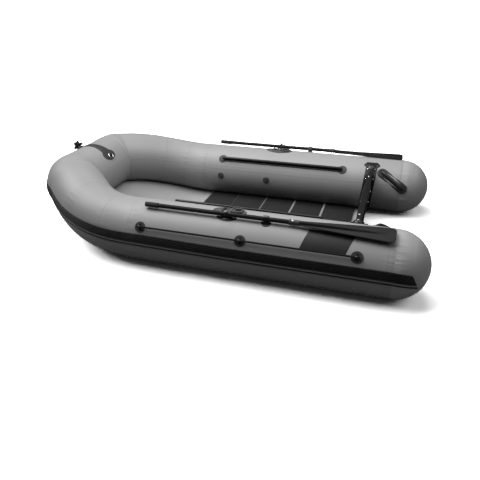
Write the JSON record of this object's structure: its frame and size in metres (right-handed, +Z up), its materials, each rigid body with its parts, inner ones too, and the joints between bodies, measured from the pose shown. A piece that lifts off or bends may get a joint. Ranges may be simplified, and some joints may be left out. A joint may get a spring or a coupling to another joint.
{
  "type": "inflatable boat",
  "caption": "Inflatable dinghy with raised bow tube, ridged rub strake, slatted floor, motor transom, lifelines and stowed oars that swing on their oarlocks",
  "frame": {"origin": "on the floor, under the middle of the boat", "axes": "+X towards the bow, +Y to port, +Z up"},
  "size_m": [2.8269, 1.734, 0.5634],
  "materials": {
    "tube_fabric": "satin coated fabric",
    "strake_rubber": "ribbed black rubber",
    "floor_fabric": "coated fabric",
    "floor_panel": "textured dark panel",
    "transom_board": "dark painted plywood",
    "moulded_black": "moulded black plastic",
    "patch_fabric": "dark coated fabric",
    "valve_plastic": "moulded plastic",
    "rope": "braided cord",
    "oarlock_plastic": "moulded grey plastic",
    "stainless": "polished steel",
    "oar_tube": "black anodised tube",
    "grip_foam": "grey foam grip",
    "blade_plastic": "moulded grey plastic"
  },
  "bodies": {
    "hull": {"tube_port": "tube_fabric", "tube_starboard": "tube_fabric", "tube_bow": "tube_fabric", "tube_cap_port": "tube_fabric", "tube_cap_starboard": "tube_fabric", "rub_strake_port": "strake_rubber", "rub_strake_starboard": "strake_rubber", "rub_strake_bow": "strake_rubber", "bottom_skin": "floor_fabric", "floor_panel_1": "floor_panel", "floor_panel_2": "floor_panel", "floor_panel_3": "floor_panel", "floor_panel_4": "floor_panel", "floor_panel_5": "floor_panel", "floor_hinge_strips": "floor_fabric", "transom_board": "transom_board", "motor_pad_inner": "moulded_black", "motor_pad_outer": "moulded_black", "transom_drain": "moulded_black", "transom_holder_port": "moulded_black", "seat_rail_port": "moulded_black", "seat_rail_patches_port": "patch_fabric", "air_valves_port": "valve_plastic", "grab_handle_port": "moulded_black", "lifeline_port": "rope", "lifeline_eyes_port": "patch_fabric", "oarlock_base_port": "oarlock_plastic", "oar_clip_port": "moulded_black", "transom_holder_starboard": "moulded_black", "seat_rail_starboard": "moulded_black", "seat_rail_patches_starboard": "patch_fabric", "air_valves_starboard": "valve_plastic", "grab_handle_starboard": "moulded_black", "lifeline_starboard": "rope", "lifeline_eyes_starboard": "patch_fabric", "oarlock_base_starboard": "oarlock_plastic", "oar_clip_starboard": "moulded_black", "bow_strap": "patch_fabric", "bow_ring": "stainless", "bow_cleat": "moulded_black"},
    "oar_port": {"oarlock_yoke_port": "oarlock_plastic", "oar_shaft_port": "oar_tube", "oar_grip_port": "grip_foam", "oar_blade_port": "blade_plastic"},
    "oar_starboard": {"oarlock_yoke_starboard": "oarlock_plastic", "oar_shaft_starboard": "oar_tube", "oar_grip_starboard": "grip_foam", "oar_blade_starboard": "blade_plastic"}
  },
  "joints": [
    {"name": "oarlock_port", "type": "hinge", "parent": "hull", "child": "oar_port", "pos_m": [-0.19, 0.71463, 0.40915], "axis": [0, 0.3173, 0.9483], "range_deg": [-135, 0]},
    {"name": "oarlock_starboard", "type": "hinge", "parent": "hull", "child": "oar_starboard", "pos_m": [-0.19, -0.71463, 0.40915], "axis": [0, -0.3173, 0.9483], "range_deg": [0, 135]}
  ]
}
